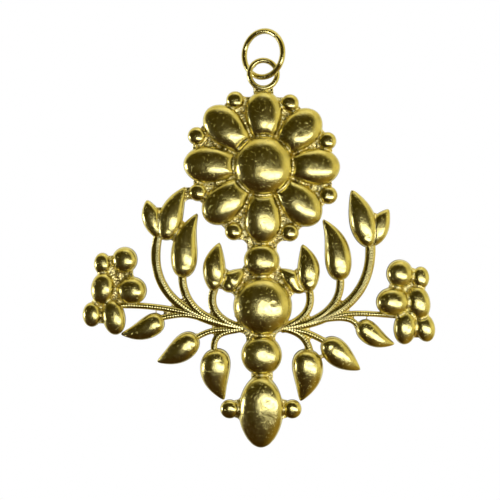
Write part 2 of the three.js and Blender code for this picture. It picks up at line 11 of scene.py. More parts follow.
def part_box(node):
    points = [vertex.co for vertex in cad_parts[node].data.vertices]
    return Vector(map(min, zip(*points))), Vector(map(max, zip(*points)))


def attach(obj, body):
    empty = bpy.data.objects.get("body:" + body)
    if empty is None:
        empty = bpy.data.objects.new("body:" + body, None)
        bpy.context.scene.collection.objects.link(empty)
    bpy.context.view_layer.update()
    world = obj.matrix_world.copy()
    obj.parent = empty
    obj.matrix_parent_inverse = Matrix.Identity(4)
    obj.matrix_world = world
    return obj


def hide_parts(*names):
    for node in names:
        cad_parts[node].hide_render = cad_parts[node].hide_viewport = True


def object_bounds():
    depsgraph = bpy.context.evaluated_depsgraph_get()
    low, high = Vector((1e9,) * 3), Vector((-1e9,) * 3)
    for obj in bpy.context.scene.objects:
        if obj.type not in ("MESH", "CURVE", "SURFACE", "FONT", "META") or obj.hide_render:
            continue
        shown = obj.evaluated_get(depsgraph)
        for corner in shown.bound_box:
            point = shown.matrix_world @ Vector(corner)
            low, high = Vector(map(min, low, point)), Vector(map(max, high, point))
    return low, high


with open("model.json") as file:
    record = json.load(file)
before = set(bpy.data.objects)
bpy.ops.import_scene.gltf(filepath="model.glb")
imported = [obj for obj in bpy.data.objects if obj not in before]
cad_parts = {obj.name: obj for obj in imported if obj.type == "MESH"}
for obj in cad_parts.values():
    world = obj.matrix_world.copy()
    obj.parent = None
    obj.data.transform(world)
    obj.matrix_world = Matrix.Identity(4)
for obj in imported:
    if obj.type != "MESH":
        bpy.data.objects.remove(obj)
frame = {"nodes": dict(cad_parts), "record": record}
cad_low, cad_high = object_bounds()
mm = 0.001

# Shapes are worked out in millimetres: X to the right, Z up, and the level towards the front
nodes = frame["nodes"]
body_of = {}
for body_name, members in frame["record"]["behaviour"]["bodies"].items():
    for member in members:
        body_of[member] = body_name
back_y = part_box("flower_back_plate")[1].y

# Stamped pieces: the power of the crown's curve, the levels of the domes' backs and of every wall's
# top, and the rounding of the backs
crown_power = 2.4
plate_level = 0.6
wall_level = 1.08
back_rounding = 0.06

# Their meshes: point distances, numbers of rings, and where the back's rings and a leaf's last one lie
outline_spacing = 0.24
fine_spacing = 0.13
crown_rows = 18
fine_crown_rows = 34
back_rings = (0.35, 0.7, 0.93)
crown_tip = 0.05

# Their outlines: the sharpest smooth turn, the corners' rounding with its span and least spread in
# points, samples between corners, fewest points, and what counts as level
sharp_turn = math.radians(40)
tip_rounding = 0.11
rounding_span = 4
least_rounding = 0.3
curve_steps = 8
fewest_points = 48
level_tolerance = 0.001

# How fast the rings of a crown grow from an egg to the outline on their way out
egg_power = 3

# Leaves: the start of their midline in half-widths from the root, how they flatten where narrow, and
# the points that even out their width
midline_start = 0.8
leaf_taper = 0.75
width_smoothing = 5

# The film of solder that widens each stamped piece, and the piece whose film is wider
solder_film = 0.09
wide_films = {"flower_centre_dome": 0.25}

# Small leaves that are filed along one side rise to a point, as the domes do
domed_leaves = ("leaf_left_outer_small", "leaf_right_outer_small")

# Crowns whose highest point lies away from the frame's, to the right and upward
apex_shifts = {"drop": (0.5, 1.5)}

# Hand-made unevenness, as wavelength and height, the share of the crown over which it fades in, and
# the step of its seeds
slow_wave = (2.6, 0.030)
quick_wave = (1.0, 0.01)
wave_fade = 0.35
seed_step = 0.37

# The raised rim round a dent: its place and width in radii, and its share of the depth
dent_rim = (1.6, 0.5)
dent_rim_height = 0.35

# Dents: place from the middle of the node's box, radius and depth
dents = {
    "middle_dome": [(1.9, 0.5, 0.42, 0.04), (1.2, -0.75, 0.12, 0.012), (2.4, 1.3, 0.2, 0.01)],
    "neck_dome": [(1.75, -0.7, 0.2, 0.04)],
    "drop": [(-1.4, 4.0, 0.16, 0.03), (1.1, 1.7, 0.5, 0.02), (1.3, -1.2, 1.1, 0.03)],
    "petal_upper_right": [(0.2, -0.4, 0.5, 0.02), (-0.6, 0.5, 0.3, 0.014)],
    "flower_centre_dome": [(-0.3, 0.7, 0.5, 0.014), (0.9, 0.2, 0.35, 0.012)],
}

# Stems, on the frame's routes: the end as seen from the root, headings in degrees, the reach of the
# curve's two handles, and the width. A side stem names its parent and the share of the way along it.
root_angle = 50
stem_height = 1.25
left_stems = {
    "outer": dict(to=(-15.2, 15.9), leave=172, arrive=78, handles=(10, 10), width=1.6),
    "middle": dict(on="outer", at=0.02, to=(-10.9, 9.2), arrive=91, handles=(5, 6.3), width=1.45),
    "inner": dict(to=(-5.4, 6.4), leave=169, arrive=73, handles=(3.6, 3.7), width=1.45),
    "cluster": dict(on="outer", at=0.13, to=(-21.5, 4), arrive=181, handles=(0.8, 9.6), width=1.1),
    "lower_outer": dict(on="outer", at=0.11, to=(-14.2, 1.9), arrive=192, handles=(6.4, 5.1), width=1.05),
    "lower_middle": dict(to=(-8.1, -1.5), leave=190, arrive=210, handles=(3.6, 3.6), width=1),
    "lower_inner": dict(to=(-5.3, -3.6), leave=198, arrive=272, handles=(2.5, 3.4), width=1.15),
}
right_stems = {
    "outer": dict(to=(15.7, 14.5), leave=6, arrive=92, handles=(9.4, 9.3), width=1.75),
    "middle": dict(on="outer", at=0.02, to=(10.4, 8.5), arrive=93, handles=(6.5, 4.5), width=1.4),
    "inner": dict(to=(5, 6.2), leave=18, arrive=100, handles=(3.8, 3.2), width=1.4),
    "cluster": dict(on="outer", at=0.19, to=(21.1, 2.1), arrive=-5, handles=(7, 8.9), width=1),
    "lower_outer": dict(on="outer", at=0.11, to=(13.4, 0.3), arrive=-66, handles=(2.6, 3.2), width=1.05),
    "lower_middle": dict(to=(7.6, -2.3), leave=-5, arrive=-29, handles=(3.3, 3.4), width=1.15),
    "lower_inner": dict(to=(4.9, -3.6), leave=-9, arrive=-74, handles=(2.5, 2.4), width=1.3),
}

# The ribs across the stems, and how soon they rise from the edges
rib_pitch = 0.46
rib_height = 0.034
rib_samples = 6
rib_rise = 1.4

# How far the stems run on under their leaves, the level of their walls, the steps of half a crown, how
# far each back lies before the last, and the rounding of its edges
stem_tuck = 0.7
stem_wall = 0.85
stem_crown_steps = 9
stem_back_step = 0.02
stem_back_round = 0.07

# Their wobble: its wavelength, and how much it changes width and ribs
stem_wobble = 1.7
width_wobble = 0.03
rib_wobble = 0.4

# The samples of a stem's curve, and the step that tells a parent's heading
stem_samples = 400
heading_step = 0.001

# Wire rings: the wires, the steps round ring and wire, the wobble of the thickness, and the butt seam,
# where the wire is pinched
jump_wire = 1.0
bail_wire = 0.96
ring_steps = 128
wire_steps = 20
wire_wobble = 0.012
wobble_waves = 4
seam_angle = 46
seam_gap = 0.09
seam_pinch = 0.06
pinch_reach = 0.25

# Solder: its grid, the level of an empty place, and for each group of pieces half the widest gap that it
# bridges, the radius of its fillets and the level of its webs
cell = 0.1
grid_margin = 1.3
bare = -50.0
flower_pieces = ("flower_", "petal_", "bail_")
column_pieces = ("petal_bottom", "neck_", "middle_", "lower_dome", "drop", "column_")
solder_groups = [
    (flower_pieces, 0.9, 0.12, 1.0),
    (column_pieces, 0.9, 0.2, 1.0),
    (("petal_bottom", "flower_bead_6", "flower_bead_7", "neck_"), 1.4, 0, 1.0),
    (("petal_top", "flower_bead_2", "flower_bead_3"), 1.3, 0, 1.0),
    (("petal_top", "bail_"), 1.3, 0.12, 1.3),
    (("petal_lower_left", "flower_bead_6"), 1.2, 0, 1.0),
    (("petal_lower_right", "flower_bead_7"), 1.2, 0, 1.0),
    (("leaf_left_outer_large", "leaf_left_middle"), 0.5, 0.15, 1.0),
    (("leaf_left_outer_large", "flower_bead_5"), 1.0, 0, 1.0),
    (("stem_", "leaf_"), 0.3, 0, 0.7),
]
for side in ("left", "right"):
    solder_groups += [
        ((f"berry_{side}", f"cluster_plate_{side}"), 0.8, 0.25, 1.0),
        ((f"leaf_{side}_outer",), 0.8, 0.2, 1.0),
        ((f"leaf_{side}_inner", "neck_", "middle_"), 0.8, 0.2, 1.0),
        ((f"stem_{side}_outer", "middle_"), 0.7, 0, 0.8),
        ((f"stem_{side}_lower_inner", "middle_", "lower_dome"), 1.1, 0, 0.9),
    ]

# The frame's plates, which stay, and the rounding of their edges
plates = ("flower_back_plate", "column_back_plate", "cluster_plate_left", "cluster_plate_right")
plate_rounding = 0.09

# Webs narrower than twice this are left out, save in the groups without fillets
least_web = 0.1

# Waves of the webs and grain of the solder, as wavelength and height, and the seeds of their noise
web_waves = ((0.9, 0.22), (0.4, 0.16))
web_seed = 5
solder_grain = ((0.5, 0.1), (0.24, 0.08))
grain_seed = 7

# Free edges: the level they start at, how far in and how high they round off, and passes of smoothing
rim_level = 0.3
rim_round = (0.45, 1.4)
rim_smoothings = 6

# How far solder stands over a piece to show, how deep it sinks in the cells beyond, its back and least
# thickness, and the reach that takes in a cell's eight neighbours
least_cover = 0.01
solder_sinks = (0.015, 0.05, 0.1)
solder_back = 0.1
least_thickness = 0.05
neighbour_reach = 1.5

# Extra dabs of solder: node, angle round its middle, distance beyond its rim, radius and level
solder_dabs = [
    ("middle_dome", 160, -0.25, 0.5, 1.0),
    ("middle_dome", 200, -0.25, 0.5, 1.0),
    ("petal_top", 90, -0.1, 1.0, 1.7),
]

# Gilt metal: grain sizes in millimetres, the specks' limits in their noise and their depth beside the
# pits', and the stretch, turn and depth of the polishing lines
tone_grain = 2.4
polish_grain = 0.7
hammer_grain = 0.75
pit_grain = 0.16
speck_grain = 0.4
speck_limits = (0.66, 0.72)
speck_depth = 2.5
line_grain = 0.05
line_stretch = (1, 1, 0.05)
line_turn = (0.3, 0.9, 0.5)
line_depth = 0.0012

# The photograph's frame in metres, how far it lies before the backs, and the camera
view_width = 0.0875
view_middle = (-0.00233, -0.03441)
view_front = 0.002
lens = 100
sensor = 36
clip_start = 0.01

# The white surround: its strength for diffuse light, and where it is seen or mirrored
world_strengths = (0.6, 1.0)

# The floor: its depth below the pendant, radius, sides and looks, and where it fades, in radii
floor_drop = 0.045
floor_radius = 0.18
floor_sides = 96
floor_tone = (0.9, 0.9, 0.9)
floor_rough = 0.8
floor_fade = (0.3, 0.95)

# The lamps, aimed at the studio's centre: place, width and height, and how bright their faces are
studio_centre = (0.0, 0.0, -0.034)
lamps = {
    "window_lamp": ((0.065, -0.19, -0.075), (0.185, 0.05), 4.4),
    "left_lamp": ((-0.34, -0.035, -0.08), (0.12, 0.1), 9.0),
    "top_lamp": ((0.05, -0.15, 0.35), (0.3, 0.2), 0.4),
}
window_tilt = math.radians(-12)

# The tent, a glowing shell that is no lamp and that only reflections show, painting dark and cream
# reflections into the metal: in metres, its radius, and the level of its flat bottom, seen from its centre
tent_radius = 0.5
tent_bottom = -0.076
tent_rings = 24
tent_sides = 48

# Its dark part, a painted dark reflection, and its left end, told by the slope of a surface that mirrors
# them to the
# viewer: where the middle leans, half the width and height, the least height counted, and the soft edges
tent_heart = -0.165
tent_reach = (0.615, 0.5)
tent_least_rise = 0.5
tent_edge = (0.86, 1.12)
tent_left = (-0.72, -0.82)

# Where its other parts begin and end, as shares of a direction, and the tones of its glow, which paint
# reflections: a dark olive room ahead, a dark brown low band that turns gold to the right, and a cream
# card; then its clouds' size and the range of their glow
tent_back = (0.1, 0.5)
tent_behind = (0.75, 0.95)
tent_low = (-0.25, -0.6)
tent_low_back = (0.2, 0.9)
tent_warm = (0.0, 0.7)
painted_olive_reflection = (0.043, 0.032, 0.0)
painted_brown_reflection = (0.036, 0.018, 0.0)
painted_gold_reflection = (0.3, 0.2, 0.035)
painted_cream_reflection = (0.8, 0.71, 0.32)
tent_clouds = 170
tent_glow_range = (0.7, 1.3)


# Outlines

def vertex_places(node):
    """The places of a node's vertices, in millimetres."""
    return np.array([vertex.co for vertex in nodes[node].data.vertices]) / mm


def middle_and_half(node):
    """The middle and the half-sizes of a node's box, as X and Z in millimetres."""
    low, high = (np.array([corner.x, corner.z]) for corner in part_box(node))
    return (low + high) / 2 / mm, (high - low) / 2 / mm


def loop_points(node):
    """The corners of a node's flat back as X and Z, counter-clockwise from the front."""
    places = vertex_places(node)
    furthest = places[:, 1].max() - level_tolerance
    edges = set()
    for face in nodes[node].data.polygons:
        if all(places[index][1] >= furthest for index in face.vertices):
            ring = [tuple(np.round(places[index][[0, 2]], 3)) for index in face.vertices]
            for start, end in zip(ring, ring[1:] + ring[:1]):
                if (end, start) in edges:
                    edges.remove((end, start))
                else:
                    edges.add((start, end))
    following = dict(edges)
    loop = [min(following)]
    while following[loop[-1]] != loop[0]:
        loop.append(following[loop[-1]])
    points = np.array(loop)
    ahead = np.roll(points, -1, axis=0)
    area = np.sum(points[:, 0] * ahead[:, 1] - ahead[:, 0] * points[:, 1])
    return points if area > 0 else points[::-1]


def unit(vectors):
    return vectors / np.maximum(np.linalg.norm(vectors, axis=-1, keepdims=True), 1e-9)


def to_the_right(tangent):
    """Directions turned a quarter to their right."""
    return np.stack([tangent[:, 1], -tangent[:, 0]], axis=1)


def travelled(line):
    """How far along a line each of its points lies."""
    steps = np.linalg.norm(np.diff(line, axis=0), axis=1)
    return np.concatenate([[0], np.cumsum(steps)])


def places_along(line, along, wanted):
    """The places on a line at the wanted distances along it."""
    return np.stack([np.interp(wanted, along, line[:, axis]) for axis in (0, 1)], axis=1)


def smooth_outline(corners, spacing):
    """Evenly spaced points on a smooth curve through the corners, broken where it turns sharply."""
    ahead = np.roll(corners, -1, axis=0) - corners
    behind = np.roll(ahead, 1, axis=0)
    length = np.linalg.norm(ahead, axis=1)[:, None]
    way_out, way_in = unit(ahead), unit(behind)
    turn = np.arccos(np.clip(np.sum(way_out * way_in, axis=1), -1, 1))
    sharp = (turn > sharp_turn)[:, None]
    tangent = unit(way_in * length + way_out * np.roll(length, 1, axis=0))
    next_tangent = np.roll(tangent, -1, axis=0)
    leaving = np.where(sharp, unit(2 * way_out - next_tangent), tangent)
    arriving = np.where(np.roll(sharp, -1, axis=0), unit(2 * way_out - tangent), next_tangent)
    dense = []
    for share in np.arange(curve_steps) / curve_steps:
        squared, cubed = share**2, share**3
        dense.append(
            (2 * cubed - 3 * squared + 1) * corners
            + (cubed - 2 * squared + share) * length * leaving
            + (3 * squared - 2 * cubed) * np.roll(corners, -1, axis=0)
            + (cubed - squared) * length * arriving
        )
    line = np.stack(dense, axis=1).reshape(-1, 2)
    return rounded(evenly(line, spacing), spacing)


def evenly(line, spacing):
    """A closed line with its points set out at one distance."""
    closed = np.vstack([line, line[:1]])
    along = travelled(closed)
    count = max(fewest_points, int(round(along[-1] / spacing)))
    return places_along(closed, along, np.arange(count) * along[-1] / count)


def rounded(line, spacing):
    """The line with its corners rounded off a little."""
    reach = tip_rounding / spacing
    offsets = np.arange(-rounding_span, rounding_span + 1)
    weights = np.exp(-0.5 * (offsets / max(reach, least_rounding)) ** 2)
    weights = weights / weights.sum()
    return sum(weight * np.roll(line, offset, axis=0) for weight, offset in zip(weights, offsets))


def wave(x, z, seed, size):
    """A smooth random height at each place, from -1 to 1."""
    return np.array([noise.noise(Vector((a / size, b / size, seed))) for a, b in zip(x, z)])


# Meshes

def to_world(points):
    """Points given as X, Z and level in millimetres, as X, Y and Z in metres."""
    points = np.asarray(points, float)
    return np.stack([points[:, 0] * mm, back_y - points[:, 2] * mm, points[:, 1] * mm], axis=1)


surfaces = {}


def solid(name, points, faces, material):
    """An object made of points in metres."""
    mesh = bpy.data.meshes.new(name)
    mesh.from_pydata(points, [], faces)
    mesh.materials.append(material)
    made = bpy.data.objects.new(name, mesh)
    bpy.context.scene.collection.objects.link(made)
    return made


def piece(name, points, faces, body, slot, material, replaced=()):
    """A smooth piece made of points in millimetres, which rides on a body of the frame."""
    made = solid(name, to_world(points).tolist(), faces, material)
    made.data.polygons.foreach_set("use_smooth", [True] * len(made.data.polygons))
    made.data.update()
    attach(made, body)
    if replaced:
        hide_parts(*replaced)
    surfaces[name] = (np.asarray(points, float), faces)
    return made


def tube(starts, size):
    """Faces between rings of points that start at these numbers, one after the other."""
    faces = []
    for low, high in zip(starts, starts[1:]):
        for corner in range(size):
            after = (corner + 1) % size
            faces.append((low + corner, high + corner, high + after, low + after))
    return faces


def stitched(rows, first, last):
    """Points and faces of stacked rings, closed by a point before the first and after the last."""
    count = len(rows[0])
    points = np.vstack([[first], *rows, [last]])
    faces = []
    end = len(points) - 1
    top = end - count
    for spot in range(count):
        after = (spot + 1) % count
        faces.append((0, 1 + after, 1 + spot))
        for ring in range(len(rows) - 1):
            low = 1 + ring * count
            faces.append((low + spot, low + after, low + count + after, low + count + spot))
        faces.append((top + spot, top + after, end))
    return points, faces


def laced(rows):
    """Points and faces of stacked rings, closed by strips across the first and the last."""
    count = len(rows[0])
    half = count // 2
    top = count * (len(rows) - 1)
    faces = []
    for spot in range(count):
        after = (spot + 1) % count
        for low in range(0, top, count):
            faces.append((low + spot, low + after, low + count + after, low + count + spot))
    for spot in range(half):
        across = dict.fromkeys((spot, spot + 1, count - spot - 1, (count - spot) % count))
        faces.append(tuple(top + corner for corner in across))
        faces.append(tuple(reversed(across)))
    return np.vstack(rows), faces


def from_root(line, centre):
    """A leaf's outline started at its root, with as many points up to its tip as back from there."""
    tip = np.linalg.norm(line - centre, axis=1).argmax()
    root = np.linalg.norm(line - line[tip], axis=1).argmax()
    line = np.roll(line, -root, axis=0)
    tip = (tip - root) % len(line)
    sides = []
    for side in (line[: tip + 1], np.vstack([line[tip:], line[:1]])):
        along = travelled(side)
        sides.append(places_along(side, along, np.linspace(0, along[-1], len(line) // 2 + 1)[:-1]))
    return np.vstack(sides)


def egg_line(line, centre):
    """The egg that fills a dome's outline, with a point in the direction of each outline point."""
    reach = line - centre
    radius = np.linalg.norm(reach, axis=1)
    axis = reach[radius.argmax()] / radius.max()
    along = reach @ axis
    across = reach @ np.array([-axis[1], axis[0]])
    half_length = np.where(along > 0, along.max(), -along.min())
    share = np.hypot(along / half_length, across / np.abs(across).max())
    return centre + reach / share[:, None]


def midline(line):
    """For each point of a leaf's outline, where on its midline it rises to, and the width there."""
    half = len(line) // 2
    opposite = line[(-np.arange(len(line))) % len(line)]
    middle = (line + opposite)[: half + 1] / 2
    width = np.linalg.norm(line - opposite, axis=1)[: half + 1] / 2
    weights = np.full(width_smoothing, 1 / width_smoothing)
    width = np.convolve(np.pad(width, width_smoothing // 2, mode="edge"), weights, mode="valid")
    from_end = np.linalg.norm(middle - middle[0], axis=1)
    first = np.argmax(from_end > midline_start * width.max())
    spot = np.minimum(np.arange(len(line)), len(line) - np.arange(len(line)))
    spot = np.clip(spot, first, half - 1)
    return middle[spot], width[spot] / width.max()


def level_ring(line, level):
    """The line's points with their level."""
    return np.column_stack([line, np.broadcast_to(level, len(line))])


def crowned_piece(node, base, wall, spacing, rows, leaf):
    """A stamped crown on an upright wall, over a node's outline, wider by the film of solder round it."""
    line = smooth_outline(loop_points(node), spacing)
    height = (back_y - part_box(node)[0].y) / mm
    places = vertex_places(node)
    centre = places[places[:, 1].argmin()][[0, 2]] + apex_shifts.get(node, (0, 0))
    top = height
    if leaf:
        line = from_root(line, centre)
        centre, width = midline(line)
        top = wall + (height - wall) * width**leaf_taper
    outward = to_the_right(unit(np.roll(line, -1, axis=0) - np.roll(line, 1, axis=0)))
    line = line + outward * wide_films.get(node, solder_film)
    made = [level_ring(centre + (line - centre) * share, base) for share in back_rings]
    made += [level_ring(line - outward * back_rounding, base), level_ring(line, base + back_rounding)]
    made.append(level_ring(line, (base + wall) / 2))
    egg = line if leaf else egg_line(line, centre)
    for row in range(rows):
        angle = (math.pi / 2) * (1 - row / rows)
        share = math.sin(angle) ** (2 / crown_power)
        rise = math.cos(angle) ** (2 / crown_power) if row else 0
        shape = egg + (line - egg) * share**egg_power
        made.append(level_ring(centre + (shape - centre) * share, wall + (top - wall) * rise))
    if leaf:
        made.append(level_ring(centre + (line - centre) * crown_tip, top))
        points, faces = laced(made)
    else:
        points, faces = stitched(made, (*centre, base), (*centre, height))
    return uneven(points, node, wall, height), faces


def uneven(points, node, wall, height):
    """The crown's own waves and dents, fading out at the wall."""
    seed = sum(ord(letter) for letter in node) * seed_step
    lift = np.clip((points[:, 2] - wall) / (wave_fade * (height - wall)), 0, 1)
    x, z = points[:, :2].T
    change = slow_wave[1] * wave(x, z, seed, slow_wave[0]) + quick_wave[1] * wave(x, z, seed, quick_wave[0])
    middle = middle_and_half(node)[0]
    for right, up, radius, depth in dents.get(node, []):
        away = np.hypot(x - middle[0] - right, z - middle[1] - up) / radius
        rim = np.exp(-(((away - dent_rim[0]) / dent_rim[1]) ** 2))
        change = change - depth * np.exp(-(away**2)) + dent_rim_height * depth * rim
    points = points.copy()
    points[:, 2] += lift * change
    return points


# Stems

def heading(angle):
    """The direction this many degrees counter-clockwise from the right."""
    return np.array([math.cos(math.radians(angle)), math.sin(math.radians(angle))])


def bezier(points, share):
    """Places at these shares of the way along a curve of four points."""
    start, first, second, end = points
    share = np.asarray(share, float)[..., None]
    rest = 1 - share
    return rest**3 * start + 3 * rest**2 * share * first + 3 * rest * share**2 * second + share**3 * end


def stem_routes(stems, root):
    """The four points of each stem's curve, by name."""
    routes = {}
    for name, stem in stems.items():
        end = root + np.array(stem["to"], float)
        if "on" in stem:
            parent = routes[stem["on"]]
            start = bezier(parent, stem["at"])
            step = bezier(parent, stem["at"] + heading_step) - start
            leaving = unit(step) * stem["handles"][0]
        else:
            start = root
            leaving = heading(stem["leave"]) * stem["handles"][0]
        arriving = heading(stem["arrive"]) * stem["handles"][1]
        routes[name] = (start, start + leaving, end - arriving, end)
    return routes


def stem_section(width, back):
    """The milled band's whole section: two low walls under a half-round crown that carries the ribs."""
    turned = back + stem_back_round
    section = [(width / 2 - stem_back_round, back, 0), (width / 2, turned, 0)]
    for step in range(2 * stem_crown_steps + 1):
        angle = math.pi / 2 * step / stem_crown_steps
        rise = math.sin(angle)
        level = stem_wall + (stem_height - stem_wall) * rise
        section.append((width / 2 * math.cos(angle), level, min(1, rib_rise * rise)))
    return section + [(-width / 2, turned, 0), (stem_back_round - width / 2, back, 0)]


def stem_mesh(route, width, back):
    """A milled band swept along its curve."""
    dense = bezier(route, np.linspace(0, 1, stem_samples))
    end = dense[-1] + unit(dense[-1] - dense[-2]) * stem_tuck
    dense = np.vstack([dense, end])
    along = travelled(dense)
    count = int(along[-1] / (rib_pitch / rib_samples))
    wanted = np.linspace(0, along[-1], count)
    line = places_along(dense, along, wanted)
    side = to_the_right(unit(np.gradient(line, axis=0)))
    section = stem_section(width, back)
    ribs = np.cos(2 * math.pi * wanted / rib_pitch)
    wobble = wave(*line.T, width, stem_wobble)
    points = []
    for spot in range(count):
        widened = 1 + width_wobble * wobble[spot]
        heightened = 1 + rib_wobble * wobble[spot]
        for across, level, rib in section:
            place = line[spot] + side[spot] * across * widened
            points.append((*place, level + rib * rib_height * ribs[spot] * heightened))
    size = len(section)
    faces = [tuple(range(size)), tuple(reversed(range((count - 1) * size, count * size)))]
    return np.array(points), faces + tube(range(0, count * size, size), size)


# Rings

def ring_mesh(node, turn, wire, seam=None):
    """A wire ring in its own upright plane, turned about the vertical, closed or with a butt seam."""
    low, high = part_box(node)
    centre = (low + high) / 2 / mm
    radius = (high.z - low.z) / 2 / mm - wire / 2
    gap = 0 if seam is None else seam_gap / radius
    start = 0 if seam is None else math.radians(seam) + gap / 2
    span = 2 * math.pi - gap
    count = ring_steps if seam is None else ring_steps + 1
    spots = start + span * np.arange(count) / ring_steps
    points = []
    for spot in spots:
        away = abs((spot - start + math.pi) % (2 * math.pi) - math.pi) * radius
        pinch = 1 if seam is None else 1 - seam_pinch * math.exp(-((away / pinch_reach) ** 2))
        for step in range(wire_steps):
            angle = 2 * math.pi * step / wire_steps
            bulge = noise.noise(Vector((spot * wobble_waves, angle, turn)))
            thick = wire / 2 * pinch * (1 + wire_wobble * bulge)
            reach = radius + thick * math.cos(angle)
            flat = reach * math.cos(spot)
            depth = thick * math.sin(angle)
            x = flat * math.cos(turn) - depth * math.sin(turn)
            y = flat * math.sin(turn) + depth * math.cos(turn)
            points.append((centre.x + x, centre.z + reach * math.sin(spot), back_y / mm - centre.y - y))
    starts = list(range(0, len(points), wire_steps))
    faces = tube(starts + starts[:1] if seam is None else starts, wire_steps)
    if seam is not None:
        faces += [tuple(range(wire_steps)), tuple(reversed(range(starts[-1], len(points))))]
    return np.array(points), faces


# Solder

def frame_surface(node):
    """The points and faces of a node of the frame, in millimetres."""
    places = vertex_places(node)
    points = np.stack([places[:, 0], places[:, 2], back_y / mm - places[:, 1]], axis=1)
    return points, [tuple(face.vertices) for face in nodes[node].data.polygons]


def foremost():
    """A grid over the ornament, with the foremost surface's level and owner at each of its points."""
    for plate in plates:
        surfaces[plate] = frame_surface(plate)
    names, owners, points, faces = [], [], [], []
    for name, (ours, our_faces) in surfaces.items():
        if name.startswith("jump_ring"):
            continue
        start = len(points)
        points.extend(map(tuple, ours))
        faces.extend(tuple(start + corner for corner in face) for face in our_faces)
        owners.extend([len(names)] * len(our_faces))
        names.append(name)
    tree = BVHTree.FromPolygons(points, faces)
    spots = np.array(points)
    low, high = spots[:, :2].min(axis=0) - grid_margin, spots[:, :2].max(axis=0) + grid_margin
    across = np.arange(low[0], high[0], cell)
    upward = np.arange(low[1], high[1], cell)
    levels = np.full((len(across), len(upward)), bare)
    owner = np.full(levels.shape, -1)
    top = spots[:, 2].max() + 1
    ahead = Vector((0, 0, -1))
    for column, x in enumerate(across):
        for row, z in enumerate(upward):
            place, _, face, _ = tree.ray_cast(Vector((x, z, top)), ahead)
            if place is not None:
                levels[column, row] = place.z
                owner[column, row] = owners[face]
    return across, upward, levels, owner, names


def shifted(field, right, up):
    """The field moved by some cells. Its bare margin takes up what wraps round."""
    return np.roll(field, (right, up), axis=(0, 1))


def rolled(field, radius):
    """The field with its hollows filled to where a ball of this radius comes to rest on it."""
    reach = int(radius / cell)
    steps = range(-reach, reach + 1)
    squared = {(i, j): radius**2 - (i * i + j * j) * cell**2 for i in steps for j in steps}
    ball = {step: math.sqrt(value) for step, value in squared.items() if value > 0}
    lifted = field + radius
    for (right, up), rise in ball.items():
        np.maximum(lifted, shifted(field, right, up) + rise, out=lifted)
    filled = lifted - radius
    for (right, up), rise in ball.items():
        np.minimum(filled, shifted(lifted, right, up) - rise, out=filled)
    return filled


def inner_distance(inside):
    """How far each point lies inside the edge of an area, up to a few cells."""
    distance = np.zeros(inside.shape)
    left = inside.copy()
    for step in range(int(rim_round[0] / cell) + 1):
        distance += left * cell
        crossed = shifted(left, 1, 0) & shifted(left, -1, 0) & shifted(left, 0, 1) & shifted(left, 0, -1)
        if step % 2:
            for right, up in ((1, 1), (1, -1), (-1, 1), (-1, -1)):
                crossed &= shifted(left, right, up)
        left &= crossed
    return distance


def disc(radius):
    """The steps across and upward that lead to the cells within a radius."""
    reach = int(radius / cell)
    steps = range(-reach, reach + 1)
    return [(right, up) for right in steps for up in steps if (right**2 + up**2) * cell**2 <= radius**2]


def bridged(area, reach):
    """The area with the gaps closed that are too narrow for a disc of this radius."""
    steps = disc(reach)
    grown = np.logical_or.reduce([shifted(area, *step) for step in steps])
    return np.logical_and.reduce([shifted(grown, *step) for step in steps])


def dabs(places):
    """How high the extra dabs stand at each place."""
    level = np.full(places.shape[:-1], bare)
    for node, angle, out, radius, top in solder_dabs:
        middle, half = middle_and_half(node)
        spot = middle + heading(angle) * (half + out)
        away = np.linalg.norm(places - spot, axis=-1)
        dab = top - radius + np.sqrt(np.maximum(radius**2 - away**2, 0))
        level = np.maximum(level, np.where(away < radius, dab, bare))
    return level


def solder_levels(across, upward, levels, owner, names):
    """How high the solder stands at each point of the grid."""
    places = np.stack(np.meshgrid(across, upward, indexing="ij"), axis=-1)
    plate_owners = [index for index, name in enumerate(names) if name in plates]
    low_parts = np.isin(owner, plate_owners) | (owner < 0)
    waves = np.zeros(levels.shape)
    spots = places.reshape(-1, 2)
    for size, depth in web_waves:
        waves += depth * wave(*spots.T, size * web_seed, size).reshape(waves.shape)
    solder = np.full(levels.shape, bare)
    for prefixes, reach, radius, level in solder_groups:
        members = [index for index, name in enumerate(names) if name.startswith(prefixes)]
        area = np.isin(owner, members)
        field = np.where(area & ~low_parts, levels, bare)
        gaps = bridged(area, reach) & low_parts
        if radius:
            gaps &= ~bridged(~gaps, least_web)
        field = np.where(gaps, np.maximum(level + waves, dabs(places)), field)
        solder = np.maximum(solder, rolled(field, radius))
    solder = np.maximum(solder, dabs(places))
    covered = (solder > 0) | (levels > 0)
    share = np.clip(inner_distance(covered) / rim_round[0], 0, 1)
    cap = rim_level + rim_round[1] * np.sqrt(1 - (1 - share) ** 2)
    solder = np.where(share < 1, np.minimum(solder, cap), solder)
    return np.where(covered & (solder > 0), solder, bare)


